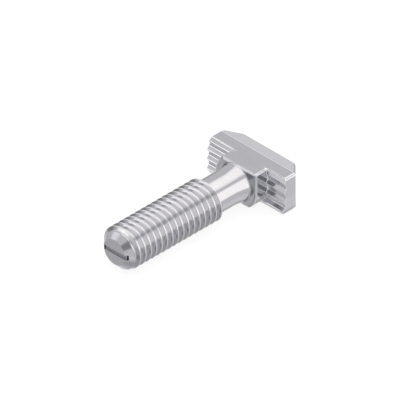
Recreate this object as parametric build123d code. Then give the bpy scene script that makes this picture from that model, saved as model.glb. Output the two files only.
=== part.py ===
from build123d import *
from itertools import pairwise
from math import ceil, radians, tan
import os

# T-slot bolt, forged in one piece with a rolled thread. Millimetres.
# +X runs along the axis to the tip, +Y along the head, +Z up.
# The origin lies on the axis, in the plane of the ridges that clamp.
# Half a turn about X brings the head and neck back onto themselves.

# Head: it passes through the slot lengthways and locks after a quarter turn.
head_length = 18.0
head_width = 7.5
head_height = 5.6       # clamping plane to the back face
head_rim = 2.6          # clamping plane to the start of the back bevels
end_bevel = 3.0         # what the back bevel takes off each end
side_bevel = 1.0        # what it takes off the long top and bottom edges
head_round = 0.55       # radius on the square corner of each end

# Serrations across the clamping side of each wing
ridge_count = 4
ridge_pitch = 1.92
ridge_depth = 0.45
ridge_crest = 0.15      # flat left on top of a ridge
groove_floor = 0.53     # flat at the bottom of a groove
groove_wall = 0.28      # depth down to which a groove ends flush with the neck
groove_ramp = 50        # degrees that the slope from there to the floor leans outwards

# Neck: two round corners let it turn in the slot, two square ones stop it.
neck_width = 9.5
neck_height = 2.4       # clamping plane to the neck's front face
neck_chamfer = 0.28

# Shank
shank_diameter = 6.4
flare_diameter = 7.1    # where the shank grows into the neck
flare_end = 5.0         # clamping plane to the end of the flare
thread_start = 9.2      # clamping plane to the shoulder of the thread
bolt_length = 30.3      # clamping plane to the tip

# Thread M8, right-hand: the standard's flat crest and 60 degree vee, with the root rolled round,
# here as a shallow vee
thread_diameter = 8.0
thread_pitch = 1.25
flank_depth = 0.36      # crest to where the flank turns into the root
thread_depth = 0.68
first_groove = 0.52     # shoulder to the middle of the first whole groove, below the axis
tip_diameter = 4.8      # flat left by the 45 degree cone

# Slot across the tip: it shows from outside how the hidden head lies.
slot_width = 0.88
slot_depth = 0.45

def along_x(section, start, end, taper=0):
    """Extrude a section drawn in Y and Z between two places on the axis."""
    plane = Plane(origin=(start, 0, 0), x_dir=(0, 1, 0), z_dir=(1, 0, 0))
    return extrude(plane * section, amount=end - start, taper=taper)

def along_y(points, length):
    """Extrude an outline drawn in X and Z to both sides of the axis."""
    face = make_face(Polyline(*[(x, 0, z) for x, z in points], close=True))
    return extrude(face, amount=length / 2, dir=(0, 1, 0), both=True)

def along_z(points, width):
    """Extrude an outline drawn in X and Y to both sides of the axis."""
    face = make_face(Polyline(*[(x, y, 0) for x, y in points], close=True))
    return extrude(face, amount=width / 2, dir=(0, 0, 1), both=True)

def turning_section(length, width):
    """A bar's section with two opposite corners rounded about the axis."""
    rounded = Circle(length / 2) & Rectangle(length, width)
    corner = Rectangle(length / 2, width / 2, align=Align.MIN)
    return rounded + corner + Rotation(0, 0, 180) * corner

def square_corner_edges(shape):
    """The edges that run back along the two square corners."""
    return shape.edges().filter_by(
        lambda edge: edge.bounding_box().size.X > ridge_depth and edge.center().Y * edge.center().Z > 1
    )

def bevelled(half_size, bevel):
    """Outline of the head seen along Y or Z: straight rim, then a bevel to the back."""
    side = [(0, half_size), (-head_rim, half_size), (-head_height, half_size - bevel)]
    return side + [(x, -size) for x, size in reversed(side)]

def helix(x, radius):
    """One turn of the thread, which starts below the axis."""
    turn = Helix(pitch=thread_pitch, height=thread_pitch, radius=radius)
    return (Pos(x, 0, 0) * Rotation(0, 90, 0) * turn).edge()

def circle_through(point):
    """The circle about the axis that starts at a point."""
    centre = Vector(point.X, 0, 0)
    plane = Plane(origin=centre, x_dir=point - centre, z_dir=(1, 0, 0))
    return Edge.make_circle((point - centre).length, plane)

def threaded_bar(start, turns):
    """A bar with the thread all along it, built up from one helical strip per turn and flat or flank."""
    crest = thread_pitch / 8
    flank = flank_depth * tan(radians(30))
    root = (thread_pitch - crest) / 2 - flank
    crest_radius = thread_diameter / 2
    flank_radius = crest_radius - flank_depth
    root_radius = crest_radius - thread_depth
    profile = [
        (0, root_radius),
        (root, flank_radius),
        (root + flank, crest_radius),
        (root + flank + crest, crest_radius),
        (thread_pitch - root, flank_radius),
        (thread_pitch, root_radius),
    ]
    rows = [
        [helix(start + turn * thread_pitch + x, radius) for x, radius in profile]
        for turn in range(turns)
    ]
    first_edge = rows[0][0]
    last_edge = rows[-1][-1]
    start_circle = circle_through(first_edge @ 0)
    end_circle = circle_through(last_edge @ 1)
    strips = [pair for row in rows for pair in pairwise(row)]
    strips += [(start_circle, first_edge), (last_edge, end_circle)]
    faces = [Face.make_surface_from_curves(*pair) for pair in strips]
    faces += [Face(Wire([circle])) for circle in (start_circle, end_circle)]
    steps = [[edge @ 0 for edge in rows[0][1:]], [edge @ 1 for edge in rows[-1][1:]]]
    faces += [Face(Wire(Polyline(*step, close=True).edges())) for step in steps]
    return Solid(Shell(faces))

# Head block, with its back bevels
head_section = turning_section(head_length, head_width)
head = along_x(head_section, -head_height, 0)
head &= along_z(bevelled(head_length / 2, end_bevel), head_width)
head &= along_y(bevelled(head_width / 2, side_bevel), head_length)
head = fillet(square_corner_edges(head), radius=head_round)

# The clamping side is cut back to the floor of the grooves, and the ridges stand on it.
neck_section = turning_section(neck_width, head_width)
ridge_foot = ridge_pitch - groove_floor
ridge_outline = [
    (-ridge_depth, -ridge_foot / 2),
    (0, -ridge_crest / 2),
    (0, ridge_crest / 2),
    (-ridge_depth, ridge_foot / 2),
]
ridges = Part()
for index in range(ridge_count):
    middle = (index - (ridge_count - 1) / 2) * ridge_pitch
    ridges += Pos(0, 0, middle) * along_y(ridge_outline, head_length)
wall = along_x(neck_section, -groove_wall, 0)
ramp = along_x(neck_section, -groove_wall, -ridge_depth, taper=-groove_ramp)
floor = along_x(head_section, -head_height, -ridge_depth)
head &= floor + ridges + wall + ramp

# Neck
neck = along_x(neck_section, -ridge_depth, neck_height)
front_edges = neck.faces().sort_by(Axis.X)[-1].edges()
neck = chamfer(front_edges + square_corner_edges(neck), length=neck_chamfer)

# Shank, turned about the axis
flare = Bezier(
    (flare_end, shank_diameter / 2),
    ((flare_end + neck_height) / 2, shank_diameter / 2),
    (neck_height, flare_diameter / 2),
)
outline = Polyline(
    (neck_height, flare_diameter / 2),
    (0, flare_diameter / 2),
    (0, 0),
    (thread_start, 0),
    (thread_start, shank_diameter / 2),
    (flare_end, shank_diameter / 2),
)
shank = revolve(make_face(flare + outline), axis=Axis.X)

# Thread, rolled up to the shoulder and run out on the cone of the tip
bar_start = thread_start - 2 * thread_pitch + first_groove
turns = ceil((bolt_length - bar_start) / thread_pitch)
cone_end = tip_diameter / 2
blank_outline = Polyline(
    (thread_start, 0),
    (thread_start, thread_diameter),
    (bolt_length - thread_diameter + cone_end, thread_diameter),
    (bolt_length, cone_end),
    (bolt_length, 0),
    close=True,
)
blank = revolve(make_face(blank_outline), axis=Axis.X)
thread = threaded_bar(bar_start, turns) & blank

# Slot across the tip
slot = Pos(bolt_length, 0, 0) * Box(2 * slot_depth, thread_diameter, slot_width)

t_slot_bolt = head + neck + shank + thread - slot

os.makedirs("parts", exist_ok=True)
export_step(t_slot_bolt, "parts/t_slot_bolt.step")
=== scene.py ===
"""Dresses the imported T-slot bolt: one forged, thread-rolled and zinc-plated piece of steel.

The bolt lies along X with its tip towards +X, its long head along Y, and Z up. It is modelled in
millimetres, and its finished mesh is scaled to metres.
"""

import logging
import math
from dataclasses import dataclass, field
from enum import Enum
from functools import partial
from typing import Any, Iterable, Sequence

import bmesh
import bpy
from mathutils import Matrix, Vector

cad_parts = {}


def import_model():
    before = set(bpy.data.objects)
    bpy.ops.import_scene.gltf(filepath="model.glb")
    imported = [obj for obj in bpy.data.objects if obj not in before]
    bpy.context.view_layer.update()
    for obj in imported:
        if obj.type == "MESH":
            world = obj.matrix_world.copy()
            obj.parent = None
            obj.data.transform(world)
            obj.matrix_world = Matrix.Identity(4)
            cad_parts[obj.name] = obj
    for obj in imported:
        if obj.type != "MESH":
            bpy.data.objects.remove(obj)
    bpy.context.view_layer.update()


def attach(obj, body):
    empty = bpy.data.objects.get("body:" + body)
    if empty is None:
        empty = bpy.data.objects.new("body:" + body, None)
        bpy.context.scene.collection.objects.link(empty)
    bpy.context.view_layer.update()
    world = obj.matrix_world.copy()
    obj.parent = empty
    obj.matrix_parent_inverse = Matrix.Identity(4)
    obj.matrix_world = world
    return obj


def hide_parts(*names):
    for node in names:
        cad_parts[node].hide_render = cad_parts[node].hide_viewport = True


logging.basicConfig(level=logging.INFO, format="%(name)s: %(message)s")
LOG = logging.getLogger("t_slot_bolt")

MM = 0.001  # metres in a millimetre
BODY = "root"
EDGE = "edge"  # face attribute, 1 on the roundings of edges, which get a painted highlight

Point3 = tuple[float, float, float]
Material = bpy.types.Material
Mesh = bpy.types.Mesh
Node = bpy.types.Node
NodeTree = bpy.types.NodeTree
Object = bpy.types.Object
Socket = bpy.types.NodeSocket
BMesh = bmesh.types.BMesh


# --- Nodes ---


def linear(hex_colour: str) -> tuple[float, float, float, float]:
    """Turn an sRGB hex colour to linear RGBA.

    Args:
        hex_colour: Six hex digits, with or without a leading hash.

    Returns:
        Red, green and blue, each from 0 to 1, and an alpha of 1.
    """
    digits = hex_colour.lstrip("#")
    channels = [int(digits[i : i + 2], 16) / 255 for i in (0, 2, 4)]
    red, green, blue = (
        c / 12.92 if c <= 0.04045 else ((c + 0.055) / 1.055) ** 2.4 for c in channels
    )
    return (red, green, blue, 1.0)


def add_node(
    tree: NodeTree, kind: str, inputs: dict[Any, Any] | None = None, **settings: Any
) -> Node:
    """Add a node with its settings and links.

    Args:
        tree: The node's tree.
        kind: The node's type name.
        inputs: For each input, by name or index, a value to set or an output socket to link.
        settings: Properties of the node itself.

    Returns:
        The new node.
    """
    node = tree.nodes.new(kind)
    for name, value in settings.items():
        setattr(node, name, value)
    for key, value in (inputs or {}).items():
        if isinstance(value, Socket):
            tree.links.new(value, node.inputs[key])
        else:
            node.inputs[key].default_value = value
    return node


def add_math(tree: NodeTree, operation: str, *values: Any) -> Socket:
    """Add one step of arithmetic.

    Args:
        tree: The node's tree.
        operation: The Math node's operation.
        values: Its inputs, each a number or an output socket.

    Returns:
        The socket of the result.
    """
    inputs = dict(enumerate(values))
    return add_node(tree, "ShaderNodeMath", inputs, operation=operation).outputs[0]


def add_product(tree: NodeTree, factors: Iterable[Any]) -> Any:
    """Add the nodes that multiply several values.

    Args:
        tree: The nodes' tree.
        factors: One or more sockets or numbers.

    Returns:
        The socket of their product.
    """
    result, *others = factors
    for other in others:
        result = add_math(tree, "MULTIPLY", result, other)
    return result


def add_window(
    tree: NodeTree, value: Socket, dark: float, bright: float, strength: float = 1.0
) -> Socket:
    """Add a soft step from nothing to a strength.

    Args:
        tree: The node's tree.
        value: What the step is taken over.
        dark: The value at which nothing is left.
        bright: The value from which the strength is full.
        strength: The full strength.

    Returns:
        The socket of the result.
    """
    limits = {"Value": value, "From Min": dark, "From Max": bright, "To Max": strength}
    step = add_node(tree, "ShaderNodeMapRange", limits, interpolation_type="SMOOTHSTEP")
    return step.outputs[0]


def add_noise(tree: NodeTree, place: Socket, size: float, detail: float = 2.0) -> Socket:
    """Add a noise.

    Args:
        tree: The node's tree.
        place: The socket of object coordinates, in mm.
        size: The size of its largest patches, in mm.
        detail: How many times finer patches are laid over them.

    Returns:
        The socket of the noise, from 0 to 1.
    """
    inputs = {"Vector": place, "Scale": 1 / size, "Detail": detail}
    return add_node(tree, "ShaderNodeTexNoise", inputs).outputs["Fac"]


def add_colour_mix(tree: NodeTree, share: Any, first: Any, second: Any) -> Socket:
    """Add a mix of two colours.

    Args:
        tree: The node's tree.
        share: How much of the second colour is in the mix.
        first: The colour at a share of 0.
        second: The colour at a share of 1.

    Returns:
        The socket of the mix.
    """
    # Inputs 6 and 7 and output 2 are the Mix node's sockets for colours
    mix = add_node(tree, "ShaderNodeMix", {0: share, 6: first, 7: second}, data_type="RGBA")
    return mix.outputs[2]


def empty_material(name: str) -> Material:
    """A node material with no node in it yet.

    Args:
        name: The material's name.

    Returns:
        The material.
    """
    material = bpy.data.materials.new(name)
    material.use_nodes = True
    material.node_tree.nodes.clear()
    return material


# --- Solids ---


class Cut(Enum):
    """What a boolean modifier does with the second solid."""

    UNION = "UNION"
    DIFFERENCE = "DIFFERENCE"


def mesh_object(name: str, mesh: Mesh) -> Object:
    """Link a mesh to the scene as an object at the origin.

    Args:
        name: The object's name.
        mesh: Its mesh, with its place in its points.

    Returns:
        The new object.
    """
    obj = bpy.data.objects.new(name, mesh)
    bpy.context.scene.collection.objects.link(obj)
    return obj


def object_from_bmesh(name: str, bm: BMesh) -> Object:
    """Turn a bmesh to an object, with its faces outwards.

    Args:
        name: The object's name.
        bm: The shape, which is freed.

    Returns:
        The new object.
    """
    bmesh.ops.recalc_face_normals(bm, faces=bm.faces)
    mesh = bpy.data.meshes.new(name)
    bm.to_mesh(mesh)
    bm.free()
    return mesh_object(name, mesh)


def loft(sections: Sequence[Sequence[Point3]]) -> BMesh:
    """Make a closed solid through sections with the same number of points.

    Args:
        sections: The outlines in order, each a closed loop.

    Returns:
        The solid.
    """
    bm = bmesh.new()
    rings = [[bm.verts.new(point) for point in section] for section in sections]
    count = len(rings[0])
    for lower, upper in zip(rings, rings[1:]):
        for i in range(count):
            j = (i + 1) % count
            bm.faces.new((lower[i], lower[j], upper[j], upper[i]))
    bm.faces.new(list(reversed(rings[0])))
    bm.faces.new(rings[-1])
    return bm


def keep_below(bm: BMesh, point: Sequence[float], normal: Sequence[float]) -> None:
    """Cut a convex solid along a plane, and close the cut.

    Args:
        bm: The solid.
        point: A point of the plane.
        normal: The plane's normal, which points at the side that goes.
    """
    solid = bm.verts[:] + bm.edges[:] + bm.faces[:]
    bmesh.ops.bisect_plane(bm, geom=solid, plane_co=point, plane_no=normal, clear_outer=True)
    rim = [edge for edge in bm.edges if edge.is_boundary]
    bmesh.ops.contextual_create(bm, geom=rim)


def round_edge(
    bm: BMesh, point: Vector, first: Vector, second: Vector, radius: float, steps: int = 8
) -> None:
    """Round a convex solid's straight edge by planes that touch a cylinder.

    Args:
        bm: The solid.
        point: A point of the sharp edge.
        first: The outward normal of one face at the edge.
        second: The outward normal of the other.
        radius: The cylinder's radius.
        steps: How many turns of equal angle lead from one face to the other.
    """
    one, two = first.normalized(), second.normalized()
    centre = point - radius * (one + two) / (1 + one.dot(two))
    for i in range(1, steps):
        normal = one.slerp(two, i / steps)
        keep_below(bm, centre + radius * normal, normal)


def turning_section(length: float, width: float, x: float, steps: int = 20) -> list[Point3]:
    """A bar's section with two opposite corners rounded about the axis.

    Args:
        length: Size along Y.
        width: Size along Z.
        x: Where the section lies on the axis.
        steps: Straight pieces in each rounded corner.

    Returns:
        The points of the closed outline.
    """
    radius, half = length / 2, width / 2
    reach = math.asin(half / radius)
    turns = [reach * (1 - i / steps) for i in range(steps)]
    corner = [(x, -radius * math.cos(turn), radius * math.sin(turn)) for turn in turns]
    upper = [(x, radius, 0.0), (x, radius, half)] + corner
    return upper + [(x, -y, -z) for _, y, z in upper]


def bake_modifiers(obj: Object) -> None:
    """Replace an object's mesh by what its modifiers make, and remove them.

    Args:
        obj: The object.
    """
    graph = bpy.context.evaluated_depsgraph_get()
    graph.update()
    mesh = bpy.data.meshes.new_from_object(obj.evaluated_get(graph))
    obj.modifiers.clear()
    obj.data = mesh


def combine(base: Object, tool: Object, cut: Cut) -> None:
    """Join a solid to another or cut it from it, and remove the second.

    Args:
        base: The solid that is changed.
        tool: The solid that is joined or cut away.
        cut: Which of the two is done.
    """
    modifier = base.modifiers.new(cut.value.title(), "BOOLEAN")
    modifier.operation = cut.value
    modifier.solver = "EXACT"
    modifier.object = tool
    bake_modifiers(base)
    bpy.data.objects.remove(tool)


def round_edges(obj: Object, width: float, steps: int, least_turn: float, slot: int = -1) -> None:
    """Round an object's edges.

    Args:
        obj: The object.
        width: How far the rounding reaches from the edge.
        steps: How many faces make up each rounding.
        least_turn: Degrees between faces from which an edge is rounded.
        slot: The material slot that the new faces take, or -1 for that of their neighbours.
    """
    bevel = obj.modifiers.new("Rounding", "BEVEL")
    bevel.width = width
    bevel.segments = steps
    bevel.limit_method = "ANGLE"
    bevel.angle_limit = math.radians(least_turn)
    bevel.use_clamp_overlap = False
    bevel.material = slot
    bake_modifiers(obj)


def set_materials(mesh: Mesh, materials: Sequence[Material]) -> None:
    """Give a mesh its materials, and each of its faces the first of them.

    Args:
        mesh: The mesh.
        materials: Its materials, in the order of its slots.
    """
    mesh.materials.clear()
    for material in materials:
        mesh.materials.append(material)
    mesh.polygons.foreach_set("material_index", [0] * len(mesh.polygons))


# --- Geometry Nodes ---


class GeometryTree:
    """A Geometry Nodes tree under construction, with a named input for each size."""

    def __init__(self, name: str, sizes: dict[str, int | float]) -> None:
        """Start a tree that has nothing but its inputs.

        Args:
            name: The tree's name.
            sizes: The value of each input by its name.
        """
        self.tree = bpy.data.node_groups.new(name, "GeometryNodeTree")
        interface = self.tree.interface
        interface.new_socket("Geometry", in_out="INPUT", socket_type="NodeSocketGeometry")
        interface.new_socket("Geometry", in_out="OUTPUT", socket_type="NodeSocketGeometry")
        self.source = self.tree.nodes.new("NodeGroupInput")
        self.result = self.tree.nodes.new("NodeGroupOutput")
        self.maths = partial(add_math, self.tree)  # adds one step of arithmetic
        self.values: dict[str, int | float] = {}
        for size, value in sizes.items():
            kind = "NodeSocketInt" if isinstance(value, int) else "NodeSocketFloat"
            item = interface.new_socket(size, in_out="INPUT", socket_type=kind)
            self.values[item.identifier] = value

    def size(self, name: str) -> Socket:
        """One of the tree's inputs.

        Args:
            name: The input's name.

        Returns:
            The socket of its value inside the tree.
        """
        return self.source.outputs[name]

    def node(self, kind: str, inputs: dict[Any, Any] | None = None, **settings: Any) -> Socket:
        """Add a node to the tree.

        Args:
            kind: The node's type name.
            inputs: Values or output sockets for its inputs.
            settings: Properties of the node itself.

        Returns:
            The new node's first output.
        """
        return add_node(self.tree, kind, inputs, **settings).outputs[0]

    def blend(self, share: Any, first: Any, second: Any) -> Socket:
        """Add the steps that go part of the way from one number to another.

        Args:
            share: How far to go: 0 stays at the first number, and 1 reaches the second.
            first: The first number or its socket.
            second: The second.

        Returns:
            The socket of the result.
        """
        way = self.maths("MULTIPLY", share, self.maths("SUBTRACT", second, first))
        return self.maths("ADD", first, way)

    def vector(self, x: Any = 0.0, y: Any = 0.0, z: Any = 0.0) -> Socket:
        """Add a vector made of three numbers or their sockets.

        Args:
            x: What it measures along X.
            y: What it measures along Y.
            z: What it measures along Z.

        Returns:
            The socket of the vector.
        """
        return self.node("ShaderNodeCombineXYZ", {0: x, 1: y, 2: z})

    def build(self, name: str, geometry: Socket, material: Material) -> Object:
        """End the tree, run it, and keep the result as a plain mesh.

        Args:
            name: The new object's name.
            geometry: The socket of the finished shape, whose instances are made real.
            material: The finish that it takes.

        Returns:
            The object, with no modifier left.
        """
        real = self.node("GeometryNodeRealizeInstances", {0: geometry})
        dressed = self.node("GeometryNodeSetMaterial", {0: real, "Material": material})
        self.tree.links.new(dressed, self.result.inputs[0])
        obj = mesh_object(name, bpy.data.meshes.new(name))
        modifier = obj.modifiers.new("Nodes", "NODES")
        modifier.node_group = self.tree
        for identifier, value in self.values.items():
            modifier[identifier] = value
        bake_modifiers(obj)
        return obj


# --- The bolt ---


@dataclass
class HammerHead:
    """The forged head with its serrated wings, and the square-cornered neck on it."""

    length: float = 18.0
    width: float = 7.5
    height: float = 5.6
    rim: float = 2.6
    end_bevel: float = 3.0
    side_bevel: float = 1.0
    corner_radius: float = 0.55  # on the square corner of each end
    neck_width: float = 9.5
    neck_height: float = 2.4
    neck_root: float = 1.0  # how far the neck reaches into the head below the grooves
    neck_chamfer: float = 0.28
    chamfer_wear: float = 0.6  # how far its edges are worn round, as a share of its size
    chamfer_wear_steps: int = 5
    chamfer_wear_turn: float = 30.0  # degrees between faces from which that is done
    ridge_count: int = 4
    ridge_pitch: float = 1.92
    ridge_depth: float = 0.45
    ridge_crest: float = 0.15
    groove_floor: float = 0.53
    groove_wall: float = 0.28  # depth down to which a groove ends flush with the neck
    groove_ramp: float = 50.0  # degrees that the slope from there to the floor leans outwards
    cutter_overrun: float = 1.0  # how far the grooves' cutters reach past each end of the head
    cutter_rise: float = 0.04  # how far they stand above the clamping plane
    spared_inset: float = 0.05  # what they spare ends this far inside the neck, which covers it
    spared_overrun: float = 0.5  # how far that reaches past the cutters, below and above
    rounding: float = 0.07  # that forging and plating leave on every edge
    rounding_steps: int = 3
    rounding_turn: float = 12.0  # degrees between faces from which an edge is rounded

    def block(self) -> Object:
        """The head without its grooves.

        Returns:
            The block as an object.
        """
        bm = loft([turning_section(self.length, self.width, x) for x in (-self.height, 0.0)])
        slope = self.height - self.rim
        for side in (1, -1):
            corner = Vector((-self.rim, side * self.length / 2, side * self.width / 2))
            end, broad_side = Vector((0, side, 0)), Vector((0, 0, side))
            bevelled_end = Vector((-self.end_bevel, side * slope, 0))
            bevelled_side = Vector((-self.side_bevel, 0, side * slope))
            keep_below(bm, corner, bevelled_end)
            keep_below(bm, corner, bevelled_side)
            round_edge(bm, corner, end, broad_side, self.corner_radius)
            round_edge(bm, corner, bevelled_end, bevelled_side, self.corner_radius)
        return object_from_bmesh("head_block", bm)

    def neck(self) -> Object:
        """The neck, its chamfers worn round, reaching back into the head.

        Returns:
            The neck as an object.
        """
        cut = self.neck_chamfer
        sizes = [
            (self.neck_width, self.width, -self.ridge_depth - self.neck_root),
            (self.neck_width, self.width, self.neck_height - cut),
            (self.neck_width - 2 * cut, self.width - 2 * cut, self.neck_height),
        ]
        bm = loft([turning_section(*size) for size in sizes])
        for side in (1, -1):
            corner = (0, side * (self.neck_width / 2 - cut), side * self.width / 2)
            keep_below(bm, corner, (0, side, side))
        neck = object_from_bmesh("neck", bm)
        wear = cut * self.chamfer_wear
        round_edges(neck, wear, self.chamfer_wear_steps, self.chamfer_wear_turn)
        return neck

    def groove_bars(self, material: Material) -> Object:
        """The cutters for the grooves between the ridges: one bar, repeated by the pitch.

        Args:
            material: The finish that the cut faces take.

        Returns:
            The bars as one object.
        """
        sizes = {
            "Count": self.ridge_count,
            "Pitch": self.ridge_pitch,
            "Depth": self.ridge_depth,
            "Floor width": self.groove_floor,
            "Crest width": self.ridge_crest,
            "Length": self.length + 2 * self.cutter_overrun,
            "Rise": self.cutter_rise,
        }
        tree = GeometryTree("groove_cutters", sizes)
        m = tree.maths
        count, pitch = tree.size("Count"), tree.size("Pitch")
        depth, floor = tree.size("Depth"), tree.size("Floor width")

        # A cube's corners move to a trapezium in X and Z: its floor as deep as the groove, and its
        # mouth above the clamping plane, wider by the slope of the flanks.
        size = tree.vector(1.0, tree.size("Length"), 1.0)
        two_ends = {"Vertices X": 2, "Vertices Y": 2, "Vertices Z": 2}
        cube = tree.node("GeometryNodeMeshCube", {"Size": size, **two_ends})
        position = tree.node("GeometryNodeInputPosition")
        at = add_node(tree.tree, "ShaderNodeSeparateXYZ", {0: position}).outputs
        in_mouth = m("GREATER_THAN", at[0], 0.0)
        height = m("ADD", depth, tree.size("Rise"))
        both_flanks = m("SUBTRACT", m("SUBTRACT", pitch, tree.size("Crest width")), floor)
        widening = m("MULTIPLY", m("DIVIDE", both_flanks, 2.0), m("DIVIDE", height, depth))
        half_floor = m("DIVIDE", floor, 2.0)
        half_width = tree.blend(in_mouth, half_floor, m("ADD", half_floor, widening))
        x = m("SUBTRACT", m("MULTIPLY", in_mouth, height), depth)
        z = m("MULTIPLY", m("SIGN", at[2]), half_width)
        bar = tree.node("GeometryNodeSetPosition", {0: cube, "Position": tree.vector(x, at[1], z)})

        first = tree.vector(z=m("MULTIPLY", m("MULTIPLY", pitch, count), -0.5))
        step = tree.vector(z=pitch)
        places = {"Count": m("ADD", count, 1.0), "Start Location": first, "Offset": step}
        row = tree.node("GeometryNodeMeshLine", places)
        bars = tree.node("GeometryNodeInstanceOnPoints", {"Points": row, "Instance": bar})
        return tree.build("grooves", bars, material)

    def grooves(self, material: Material) -> Object:
        """The cutters, held back from the neck.

        Args:
            material: The finish that the cut faces take.

        Returns:
            The cutters as one object.
        """
        cutters = self.groove_bars(material)
        # What they spare round the neck: a wall a little inside it, and a ramp below the wall
        lean = math.tan(math.radians(self.groove_ramp))
        inset = self.spared_inset
        bottom = self.ridge_depth + self.spared_overrun
        spared = [
            (bottom, (bottom - self.groove_wall) * lean),
            (self.groove_wall - inset / lean, -inset),
            (-self.spared_overrun, -inset),
        ]
        sections = [
            turning_section(self.neck_width + 2 * grown, self.width + 2 * grown, -below)
            for below, grown in spared
        ]
        combine(cutters, object_from_bmesh("ramp", loft(sections)), Cut.DIFFERENCE)
        return cutters

    def build(self, material: Material) -> Object:
        """Make the head and neck as one solid with rounded edges.

        Args:
            material: The finish.

        Returns:
            The solid, whose roundings have a material of their own, named after the attribute.
        """
        head = self.block()
        combine(head, self.grooves(material), Cut.DIFFERENCE)
        combine(head, self.neck(), Cut.UNION)
        set_materials(head.data, [material, bpy.data.materials.new(EDGE)])
        round_edges(head, self.rounding, self.rounding_steps, self.rounding_turn, slot=1)
        return head


@dataclass
class ThreadedStem:
    """The waisted shank and the rolled thread with its cone tip, as one closed grid of rings."""

    sunk: float = 0.2  # how far behind the neck's front the stem starts
    shank_diameter: float = 6.4
    flare_diameter: float = 7.1
    flare_end: float = 5.0
    fillet: float = 0.15  # radius between the flare and the neck's front
    thread_start: float = 9.2
    length: float = 30.3
    diameter: float = 7.99
    pitch: float = 1.25
    depth: float = 0.72
    crest_place: float = 0.345  # on the axis, where a crest would pass right below it
    tip_diameter: float = 4.8
    rounding: float = 0.1  # of the crest's edges
    root_rounding: float = 0.2
    around: int = 120
    rows_per_pitch: int = 24
    shank_rows: int = 60
    slot_width: float = 0.88
    slot_depth: float = 0.45
    hair: float = 1e-6  # by which a row has to pass the shoulder, or may miss the tip
    weld: float = 1e-3  # points of the skin closer than this become one
    shortest_edge: float = 1e-5

    def sizes(self, neck_front: float) -> dict[str, int | float]:
        """The inputs of the stem's tree.

        Args:
            neck_front: Where the neck's front lies on the axis.

        Returns:
            The value of each input by its name.
        """
        turns = (self.length - self.thread_start + self.pitch) / self.pitch
        return {
            "Points around": self.around,
            "Rows": self.shank_rows + math.ceil(turns * self.rows_per_pitch) + 1,
            "Shank rows": self.shank_rows,
            "Start": neck_front - self.sunk,
            "Neck front": neck_front,
            "Shank radius": self.shank_diameter / 2,
            "Flare height": (self.flare_diameter - self.shank_diameter) / 2,
            "Flare end": self.flare_end,
            "Fillet": self.fillet,
            "Shoulder": self.thread_start,
            "End": self.length,
            "Outer radius": self.diameter / 2,
            "Tip radius": self.tip_diameter / 2,
            "Pitch": self.pitch,
            "Row step": self.pitch / self.rows_per_pitch,
            "Depth": self.depth,
            "Crest place": self.crest_place,
            "Crest rounding": self.rounding,
            "Root rounding": self.root_rounding,
        }

    def shank_radius(self, tree: GeometryTree, x: Socket) -> Socket:
        """Add the shank: a flare that leaves it without a kink, then a fillet up to the neck.

        Args:
            tree: The stem's tree.
            x: The place on the axis.

        Returns:
            The socket of the radius there.
        """
        m = tree.maths
        neck_front, fillet = tree.size("Neck front"), tree.size("Fillet")
        flare_end = tree.size("Flare end")
        out = m("MAXIMUM", x, neck_front)
        before = m("MAXIMUM", m("SUBTRACT", flare_end, out), 0.0)
        parabola = m("POWER", m("DIVIDE", before, m("SUBTRACT", flare_end, neck_front)), 2.0)
        near = m("MAXIMUM", m("SUBTRACT", fillet, m("SUBTRACT", out, neck_front)), 0.0)
        leg = m("SUBTRACT", m("MULTIPLY", fillet, fillet), m("MULTIPLY", near, near))
        curl = m("SUBTRACT", fillet, m("SQRT", m("MAXIMUM", leg, 0.0)))
        flare = m("MULTIPLY", parabola, tree.size("Flare height"))
        return m("ADD", m("ADD", tree.size("Shank radius"), flare), curl)

    def thread_radius(self, tree: GeometryTree, x: Socket, share: Socket) -> Socket:
        """Add the thread's section, with crests and roots rounded, where it meets the cone.

        Args:
            tree: The stem's tree.
            x: The place on the axis.
            share: How much of a turn lies between the point and the line below the axis.

        Returns:
            The socket of the radius there.
        """
        m = tree.maths
        pitch, outer = tree.size("Pitch"), tree.size("Outer radius")
        rounding = tree.size("Crest rounding")
        unwound = m("SUBTRACT", x, m("MULTIPLY", share, pitch))
        turns = m("DIVIDE", m("SUBTRACT", unwound, tree.size("Crest place")), pitch)
        from_crest = m("ABSOLUTE", m("SUBTRACT", m("FRACT", m("ADD", turns, 0.5)), 0.5))
        away = m("MULTIPLY", from_crest, pitch)
        # Flanks at 60 degrees to each other leave a crest as wide as an eighth of the pitch
        slope = math.sqrt(3.0)
        peak = m("ADD", outer, m("MULTIPLY", pitch, slope / 16))
        flank = m("SUBTRACT", peak, m("MULTIPLY", away, slope))
        topped = m("SMOOTH_MIN", flank, outer, rounding)
        root = m("SUBTRACT", outer, tree.size("Depth"))
        section = m("SMOOTH_MAX", topped, root, tree.size("Root rounding"))
        cone = m("ADD", tree.size("Tip radius"), m("SUBTRACT", tree.size("End"), x))
        return m("SMOOTH_MIN", section, cone, rounding)

    def skin(self, material: Material, neck_front: float) -> Object:
        """The stem's skin, a flat grid that is wound round the axis.

        Args:
            material: The finish.
            neck_front: Where the neck's front lies on the axis.

        Returns:
            The skin, open at both ends.
        """
        tree = GeometryTree("threaded_stem", self.sizes(neck_front))
        m = tree.maths
        around, shank_rows = tree.size("Points around"), tree.size("Shank rows")
        shoulder, end, pitch = tree.size("Shoulder"), tree.size("End"), tree.size("Pitch")

        columns = m("ADD", around, 1.0)
        points = {"Vertices X": tree.size("Rows"), "Vertices Y": columns}
        grid = tree.node("GeometryNodeMeshGrid", {"Size X": 1.0, "Size Y": 1.0, **points})
        index = tree.node("GeometryNodeInputIndex")
        # The quarter keeps a row's first point clear of the row before
        row = m("FLOOR", m("DIVIDE", m("ADD", index, 0.25), columns))
        share = m("DIVIDE", m("SUBTRACT", index, m("MULTIPLY", row, columns)), around)

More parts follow.
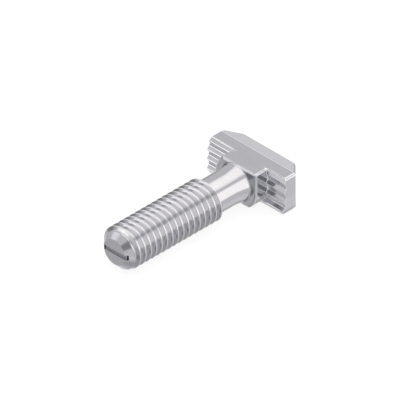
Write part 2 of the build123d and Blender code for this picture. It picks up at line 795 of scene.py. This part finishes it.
        # Shank rows lie square to the axis, closest at the neck; thread rows start a pitch early
        # and climb one pitch a turn.
        in_thread = m("GREATER_THAN", row, m("SUBTRACT", shank_rows, 0.5))
        flat_share = m("POWER", m("DIVIDE", row, m("SUBTRACT", shank_rows, 1.0)), 2.0)
        flat_x = tree.blend(flat_share, tree.size("Start"), shoulder)
        climbed = m("MULTIPLY", m("SUBTRACT", row, shank_rows), tree.size("Row step"))
        turned = m("ADD", climbed, m("MULTIPLY", share, pitch))
        steep_x = m("ADD", m("SUBTRACT", shoulder, pitch), turned)
        thread_x = m("MINIMUM", m("MAXIMUM", steep_x, shoulder), end)
        x = tree.blend(in_thread, flat_x, thread_x)

        # Rows still waiting at the shoulder fold onto the shank's end, and those past the tip onto
        # its rim.
        shank = self.shank_radius(tree, x)
        past_shoulder = m("GREATER_THAN", steep_x, m("ADD", shoulder, self.hair))
        at_tip = m("GREATER_THAN", steep_x, m("SUBTRACT", end, self.hair))
        thread = tree.blend(past_shoulder, shank, self.thread_radius(tree, x, share))
        thread = tree.blend(at_tip, thread, tree.size("Tip radius"))
        radius = tree.blend(in_thread, shank, thread)

        # Right-hand about +X, counted from below the axis
        angle = m("MULTIPLY", share, math.tau)
        y = m("MULTIPLY", radius, m("SINE", angle))
        z = m("MULTIPLY", radius, m("MULTIPLY", m("COSINE", angle), -1.0))
        wound = tree.node("GeometryNodeSetPosition", {0: grid, "Position": tree.vector(x, y, z)})
        welding = {"Geometry": wound, "Distance": self.weld}
        return tree.build("stem", tree.node("GeometryNodeMergeByDistance", welding), material)

    def close(self, mesh: Mesh) -> None:
        """Clean the welded skin and close its two ends.

        Args:
            mesh: The skin.
        """
        bm = bmesh.new()
        bm.from_mesh(mesh)
        bmesh.ops.dissolve_degenerate(bm, dist=self.shortest_edge, edges=bm.edges)
        rim = [edge for edge in bm.edges if edge.is_boundary]
        bmesh.ops.edgeloop_fill(bm, edges=rim)
        bmesh.ops.recalc_face_normals(bm, faces=bm.faces)
        bm.to_mesh(mesh)
        bm.free()

    def slot(self) -> Object:
        """The cutter for the slot across the tip, as deep above the tip as below it.

        Returns:
            The cutter as an object.
        """
        half_width = self.slot_width / 2
        low, high = self.length - self.slot_depth, self.length + self.slot_depth
        outline = [(low, -half_width), (low, half_width), (high, half_width), (high, -half_width)]
        sections = [[(x, side * self.diameter, z) for x, z in outline] for side in (-1, 1)]
        return object_from_bmesh("slot", loft(sections))

    def build(self, material: Material, neck_front: float) -> Object:
        """Make the stem as a closed solid, with the slot across its tip.

        Args:
            material: The finish.
            neck_front: Where the neck's front lies on the axis.

        Returns:
            The stem.
        """
        stem = self.skin(material, neck_front)
        self.close(stem.data)
        combine(stem, self.slot(), Cut.DIFFERENCE)
        return stem


# --- Finish ---


@dataclass(frozen=True)
class BrightZincPlating:
    """Steel, forged and rolled, then barrel-plated with bright zinc and passivated clear.

    A pale, slightly bluish metal with a satin gloss: highlights have soft borders, and the plating
    shows faint clouds and a very fine grain. Inside the slot in the tip the plating is dull, and a
    painted shade darkens it, darker still at the slot's ends. The roundings of every edge, and the
    crests of the thread a little less, carry a painted highlight in a lighter colour.
    """

    name: str = "bright_zinc_plating"
    colour: str = "#D0D0D5"
    shade: str = "#C6C6CC"
    # painted highlight: a lighter colour on the edges' roundings and the thread's crests
    painted_highlight: str = "#F1F1F4"
    # painted shade: a darker colour inside the slot
    slot_shade: str = "#B4B4BA"
    # painted shade: darker still at the slot's ends
    end_shade: str = "#3C3C42"
    cloud_size: float = 2.4  # mm, patches of thicker and thinner passivation
    cloud_detail: float = 3.0
    cloud_lows: float = 0.3  # the noise in a thin patch
    cloud_highs: float = 0.7  # the noise in a thick one
    roughness_lows: float = 0.11
    roughness_highs: float = 0.16
    roughness_recess: float = 0.3
    grain_size: float = 0.12  # mm, the deposit's grain, drawn coarser than it is so that it shows
    grain_height: float = 0.0006  # mm
    grain_strength: float = 0.5
    slot_border: float = 0.03  # mm over which the slot's dullness and painted shade end at its floor and walls
    floor_margin: float = 0.02  # mm behind its floor that are as dull and as shaded
    wall_margin: float = 0.01  # mm behind its walls that are as dull and as shaded
    mouth_border: float = 0.15  # mm below the tip over which the dullness and painted shade start
    # where the slot's ends start to get the darker painted shade, and how softly
    end_shade_start: float = 2.45  # mm from the axis
    end_shade_border: float = 0.05
    # the painted highlight on the thread's crests: its strength, how deep it reaches, where it runs
    crest_highlight: float = 0.45
    crest_depth: float = 0.025  # mm below the outer diameter down to which crests get the painted highlight
    crest_border: float = 0.12
    crest_margin: float = 0.1  # mm past the thread's start where that begins
    crest_end: float = 1.5  # mm behind the tip where that ends
    crest_fade: float = 0.3  # mm along the axis over which it comes and goes

    def zones(self, tree: NodeTree, place: Socket, stem: ThreadedStem) -> dict[str, Socket]:
        """Add the nodes that find the slot, its ends and the thread's crests.

        Args:
            tree: The material's tree.
            place: The socket of object coordinates, in mm.
            stem: The stem that has them.

        Returns:
            A socket for each zone, which gives its strength inside it and 0 outside it.
        """
        at = add_node(tree, "ShaderNodeSeparateXYZ", {0: place}).outputs
        flat = add_node(tree, "ShaderNodeCombineXYZ", {1: at[1], 2: at[2]}).outputs[0]
        length = add_node(tree, "ShaderNodeVectorMath", {0: flat}, operation="LENGTH")
        radius = length.outputs["Value"]
        side, height = (add_math(tree, "ABSOLUTE", at[axis]) for axis in (1, 2))

        floor = stem.length - stem.slot_depth - self.floor_margin
        wall = stem.slot_width / 2 + self.wall_margin
        inside = [
            add_window(tree, at[0], floor - self.slot_border, floor),
            add_window(tree, at[0], stem.length, stem.length - self.mouth_border),
            add_window(tree, height, wall + self.slot_border, wall),
        ]
        # the slot's mask, for its dullness and its painted shade
        slot = add_product(tree, inside)
        ends = add_window(tree, side, self.end_shade_start, self.end_shade_start + self.end_shade_border)

        first = stem.thread_start + self.crest_margin
        last = stem.length - self.crest_end
        top = stem.diameter / 2 - self.crest_depth
        crest = [
            add_window(tree, at[0], first, first + self.crest_fade),
            add_window(tree, at[0], last, last - self.crest_fade),
            add_window(tree, radius, top - self.crest_border, top, self.crest_highlight),
        ]
        # the slot's ends, for the darker painted shade
        end_shade = add_product(tree, [slot, ends])
        return {"slot": slot, "end_shade": end_shade, "crest": add_product(tree, crest)}

    def material(self, stem: ThreadedStem) -> Material:
        """Build the node material.

        Args:
            stem: The stem, whose slot and crests look different from the rest.

        Returns:
            The material.
        """
        material = empty_material(self.name)
        tree = material.node_tree
        metres = add_node(tree, "ShaderNodeTexCoord").outputs["Object"]
        scaling = {0: metres, "Scale": 1 / MM}
        place = add_node(tree, "ShaderNodeVectorMath", scaling, operation="SCALE").outputs[0]
        zones = self.zones(tree, place, stem)
        edge = add_node(tree, "ShaderNodeAttribute", attribute_name=EDGE).outputs["Fac"]
        # painted highlight on the roundings and crests, painted shade in the slot and darker at its
        # ends
        layers = [
            (add_math(tree, "MAXIMUM", zones["crest"], edge), self.painted_highlight),
            (zones["slot"], self.slot_shade),
            (zones["end_shade"], self.end_shade),
        ]
        clouds = add_noise(tree, place, self.cloud_size, self.cloud_detail)
        colour = add_colour_mix(tree, clouds, linear(self.shade), linear(self.colour))
        for zone, shade in layers:
            colour = add_colour_mix(tree, zone, colour, linear(shade))
        found = {"From Min": self.cloud_lows, "From Max": self.cloud_highs}
        given = {"To Min": self.roughness_lows, "To Max": self.roughness_highs}
        satin = add_node(tree, "ShaderNodeMapRange", {"Value": clouds, **found, **given})
        # Inputs 2 and 3 are the Mix node's sockets for numbers
        shares = {0: zones["slot"], 2: satin.outputs[0], 3: self.roughness_recess}
        roughness = add_node(tree, "ShaderNodeMix", shares, data_type="FLOAT").outputs[0]
        grain = add_noise(tree, place, self.grain_size)
        relief = {"Strength": self.grain_strength, "Distance": self.grain_height * MM}
        bump = add_node(tree, "ShaderNodeBump", {"Height": grain, **relief})
        metal = {"Base Color": colour, "Metallic": 1.0, "Roughness": roughness}
        relieved = {**metal, "Normal": bump.outputs[0]}
        shader = add_node(tree, "ShaderNodeBsdfPrincipled", relieved)
        add_node(tree, "ShaderNodeOutputMaterial", {"Surface": shader.outputs[0]})
        return material


@dataclass(frozen=True)
class MattWhiteFloor:
    """A studio floor of matt white acrylic, lit from below, so that it takes little shadow."""

    name: str = "matt_white_acrylic"
    colour: str = "#808080"  # what it throws back of the room's light
    glow: str = "#F6F6F6"
    glow_strength: float = 0.92
    roughness: float = 0.9

    def material(self) -> Material:
        """Build the node material.

        Returns:
            The material.
        """
        material = empty_material(self.name)
        tree = material.node_tree
        acrylic = {
            "Base Color": linear(self.colour),
            "Roughness": self.roughness,
            "Specular IOR Level": 0.0,
            "Emission Color": linear(self.glow),
            "Emission Strength": self.glow_strength,
        }
        shader = add_node(tree, "ShaderNodeBsdfPrincipled", acrylic)
        add_node(tree, "ShaderNodeOutputMaterial", {"Surface": shader.outputs[0]})
        return material


# --- The finished bolt ---


@dataclass
class TSlotBolt:
    """The whole bolt: one piece of steel."""

    name: str = "forged_bolt"
    head: HammerHead = field(default_factory=HammerHead)
    stem: ThreadedStem = field(default_factory=ThreadedStem)
    finish: BrightZincPlating = field(default_factory=BrightZincPlating)
    sharp_turn: float = 35.0  # degrees between faces from which an edge stays sharp
    face_weight: int = 100  # broad faces stay flat, and the roundings beside them take the turn
    face_threshold: float = 0.02  # square mm by which faces may differ and count as equally broad

    def mark_edges(self, mesh: Mesh, material: Material) -> None:
        """Mark the head's roundings, told by their material, and leave one material.

        Args:
            mesh: The bolt's mesh.
            material: The finish.
        """
        slots = [0] * len(mesh.polygons)
        mesh.polygons.foreach_get("material_index", slots)
        edge_slot = mesh.materials.find(EDGE)
        mark = mesh.attributes.new(EDGE, "FLOAT", "FACE")
        mark.data.foreach_set("value", [float(slot == edge_slot) for slot in slots])
        bpy.data.materials.remove(bpy.data.materials[EDGE])
        set_materials(mesh, [material])

    def shade(self, bolt: Object) -> None:
        """Shade the bolt smooth, with its flat faces flat.

        Args:
            bolt: The bolt, in mm.
        """
        bolt.data.shade_smooth()
        bolt.data.set_sharp_from_angle(angle=math.radians(self.sharp_turn))
        weighted = bolt.modifiers.new("Weighted normals", "WEIGHTED_NORMAL")
        weighted.keep_sharp = True
        weighted.weight = self.face_weight
        weighted.thresh = self.face_threshold
        bake_modifiers(bolt)

    def build(self) -> None:
        """Make the bolt, one finished piece that stands for the plain solid."""
        material = self.finish.material(self.stem)
        bolt = self.head.build(material)
        combine(bolt, self.stem.build(material, self.head.neck_height), Cut.UNION)
        bolt.name = self.name
        bolt.data.name = self.name
        self.mark_edges(bolt.data, material)
        self.shade(bolt)
        bolt.data.transform(Matrix.Scale(MM, 4))
        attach(bolt, BODY)
        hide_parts("t_slot_bolt")
        LOG.info("%s: %d faces", bolt.name, len(bolt.data.polygons))


# --- Studio ---


class Lamp(Enum):
    """The colour of a panel's light."""

    NEUTRAL = "#FFFFFF"
    WARM = "#FFF9EE"

    def tint(self) -> Point3:
        """The colour as a factor that changes no brightness.

        Returns:
            Red, green and blue, with a mean of 1.
        """
        red, green, blue, _ = linear(self.value)
        mean = (red + green + blue) / 3
        return (red / mean, green / mean, blue / mean)


@dataclass(frozen=True)
class DiscPanel:
    """A round soft panel, far away, given by the direction in which the bolt sees it."""

    direction: Point3
    spread: float  # degrees from its middle to half its brightness
    softness: float  # degrees over which its border fades
    strength: float  # what it adds to the room's brightness, below 0 for a dark flag
    lamp: Lamp = Lamp.NEUTRAL

    def glow(self, tree: NodeTree, looking: Socket) -> Socket:
        """Add the nodes that give the panel's share of the light.

        Args:
            tree: The world's tree.
            looking: The socket of the direction looked in.

        Returns:
            The socket of what the panel adds.
        """
        ways = {0: looking, 1: Vector(self.direction).normalized()}
        cosine = add_node(tree, "ShaderNodeVectorMath", ways, operation="DOT_PRODUCT")
        angle = add_math(tree, "ARCCOSINE", cosine.outputs["Value"])
        fade = math.radians(self.softness) / 2
        border = math.radians(self.spread)
        return add_window(tree, angle, border + fade, border - fade, self.strength)


@dataclass(frozen=True)
class BarPanel:
    """A long soft panel that hangs parallel to the bolt.

    Its ends are given as the cosine of the angle from +X at which the bolt sees them.
    """

    roll: float  # degrees about the axis from +Y towards +Z
    half_width: float  # degrees
    softness: float  # degrees over which its long borders fade
    far_end: float  # towards +X
    strength: float  # what it adds to the room's brightness, below 0 for a dark flag
    near_end: float = -1.2  # towards -X, where below -1 it has no end
    end_fade: float = 0.1  # how far its ends fade either way
    lamp: Lamp = Lamp.NEUTRAL

    def glow(self, tree: NodeTree, looking: Socket) -> Socket:
        """Add the nodes that give the panel's share of the light.

        Args:
            tree: The world's tree.
            looking: The socket of the direction looked in.

        Returns:
            The socket of what the panel adds.
        """
        parts = add_node(tree, "ShaderNodeSeparateXYZ", {0: looking}).outputs
        angle = add_math(tree, "ARCTAN2", parts[2], parts[1])
        turned = add_math(tree, "SUBTRACT", angle, math.radians(self.roll))
        away = add_math(tree, "ABSOLUTE", add_math(tree, "WRAP", turned, math.pi, -math.pi))
        fade = math.radians(self.softness) / 2
        border = math.radians(self.half_width)
        across = add_window(tree, away, border + fade, border - fade, self.strength)
        near, far = (
            add_window(tree, parts[0], end + way, end - way)
            for end, way in ((self.near_end, -self.end_fade), (self.far_end, self.end_fade))
        )
        return add_product(tree, [across, near, far])


@dataclass
class Studio:
    """Pale floor, even room light with soft panels, and the camera."""

    floor_level: float = -4.0
    floor_size: float = 4000.0
    exposure: float = 0.8
    room: float = 0.93
    darkest: float = 0.03  # what the flags leave of the light at least
    panels: Sequence[DiscPanel | BarPanel] = (
        # Overhead light bank, brightest in its middle, and its light on the forward side
        BarPanel(89.0, half_width=31.0, softness=12.0, far_end=0.3, strength=0.69, lamp=Lamp.WARM),
        BarPanel(89.0, half_width=22.0, softness=12.0, far_end=0.3, strength=0.17, lamp=Lamp.WARM),
        DiscPanel((0.3, 0.3, 0.9), spread=20.0, softness=14.0, strength=0.31),
        DiscPanel((0.3, 0.6, 0.74), spread=12.0, softness=10.0, strength=0.06),
        # Side bank, level with the bolt, and a card ahead of the tip
        BarPanel(13.0, half_width=26.0, softness=12.0, far_end=0.2, strength=0.91, lamp=Lamp.WARM),
        DiscPanel((0.95, 0.3, 0.1), spread=7.0, softness=5.0, strength=0.06),
        DiscPanel((0.577, 0.577, -0.577), spread=8.0, softness=6.0, strength=0.14),
        # The opposite side: a fill behind the bolt, a row of kickers ahead of it, cards low down
        BarPanel(140.0, half_width=22.0, softness=10.0, near_end=0.15, far_end=0.65, strength=0.46),
        DiscPanel((0.79, -0.577, 0.21), spread=7.0, softness=5.0, strength=0.52),
        DiscPanel((0.84, -0.48, 0.23), spread=10.0, softness=6.0, strength=0.27, lamp=Lamp.WARM),
        DiscPanel((0.9, -0.36, 0.25), spread=6.0, softness=5.0, strength=0.26, lamp=Lamp.WARM),
        DiscPanel((0.92, -0.28, 0.28), spread=12.0, softness=10.0, strength=0.65, lamp=Lamp.WARM),
        DiscPanel((0.97, -0.05, 0.2), spread=10.0, softness=8.0, strength=0.23, lamp=Lamp.WARM),
        DiscPanel((0.82, -0.57, -0.05), spread=8.0, softness=6.0, strength=0.28),
        DiscPanel((0.75, -0.6, -0.25), spread=12.0, softness=8.0, strength=0.36),
        DiscPanel((-0.8, -0.577, 0.115), spread=14.0, softness=10.0, strength=0.2),
        BarPanel(-62.0, half_width=18.0, softness=12.0, far_end=0.2, strength=0.13),
        # Dark flags that keep the sides and the underside from going flat
        DiscPanel((0.81, 0.45, 0.35), spread=16.0, softness=10.0, strength=-0.52),
        DiscPanel((0.4, -0.9, -0.1), spread=14.0, softness=10.0, strength=-0.54),
        DiscPanel((0.64, -0.76, 0.1), spread=8.0, softness=8.0, strength=-0.15),
        DiscPanel((0.37, -0.87, 0.32), spread=8.0, softness=8.0, strength=-0.11),
        DiscPanel((0.85, 0.2, -0.5), spread=18.0, softness=12.0, strength=-0.27),
        DiscPanel((0.5, 0.0, -0.87), spread=25.0, softness=15.0, strength=-0.34),
        DiscPanel((0.577, -0.577, -0.577), spread=18.0, softness=12.0, strength=-0.2),
        BarPanel(186.0, half_width=10.0, softness=10.0, far_end=0.0, strength=-0.37),
        BarPanel(-97.0, half_width=10.0, softness=10.0, far_end=0.0, strength=-0.29),
    )
    back: Point3 = (1.0, 1.0, 1.0)  # the way from what the camera looks at to the camera
    aim: Point3 = (6.825, -3.687, -3.139)
    frame_width: float = 65.35
    distance: float = 0.3  # metres between the camera and what it looks at
    clip_start: float = 0.001  # metres
    clip_end: float = 10.0

    def floor(self) -> None:
        """Lay the floor under the bolt."""
        half = self.floor_size / 2 * MM
        square = [(-half, -half), (half, -half), (half, half), (-half, half)]
        mesh = bpy.data.meshes.new("floor")
        mesh.from_pydata([(x, y, self.floor_level * MM) for x, y in square], [], [(0, 1, 2, 3)])
        floor = mesh_object("floor", mesh)
        mesh.materials.append(MattWhiteFloor().material())
        floor.visible_glossy = False  # the plating mirrors the panels alone

    def light(self) -> None:
        """Light the room evenly and hang the panels in it."""
        world = bpy.data.worlds.new("studio")
        world.use_nodes = True
        tree = world.node_tree
        tree.nodes.clear()
        looking = add_node(tree, "ShaderNodeTexCoord").outputs["Generated"]
        total: Any = (self.room,) * 3
        for panel in self.panels:
            terms = {0: panel.glow(tree, looking), 1: panel.lamp.tint(), 2: total}
            added = add_node(tree, "ShaderNodeVectorMath", terms, operation="MULTIPLY_ADD")
            total = added.outputs[0]
        limits = {0: total, 1: (self.darkest,) * 3}
        colour = add_node(tree, "ShaderNodeVectorMath", limits, operation="MAXIMUM").outputs[0]
        lit = add_node(tree, "ShaderNodeBackground", {"Color": colour, "Strength": self.exposure})
        add_node(tree, "ShaderNodeOutputWorld", {"Surface": lit.outputs[0]})
        bpy.context.scene.world = world

    def camera(self) -> None:
        """Set up the camera, which looks along parallel lines."""
        data = bpy.data.cameras.new("camera")
        data.type = "ORTHO"
        data.ortho_scale = self.frame_width * MM
        data.clip_start, data.clip_end = self.clip_start, self.clip_end
        camera = bpy.data.objects.new("camera", data)
        back = Vector(self.back).normalized()
        camera.location = Vector(self.aim) * MM + back * self.distance
        camera.rotation_mode = "QUATERNION"
        camera.rotation_quaternion = (-back).to_track_quat("-Z", "Y")
        bpy.context.scene.collection.objects.link(camera)
        bpy.context.scene.camera = camera

    def build(self) -> None:
        """Set up the floor, light, camera and picture settings."""
        self.floor()
        self.light()
        self.camera()
        view = bpy.context.scene.view_settings
        view.view_transform = "Standard"
        view.look = "None"


def main() -> None:
    """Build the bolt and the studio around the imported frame."""
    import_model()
    TSlotBolt().build()
    Studio().build()


if __name__ == "__main__":
    main()
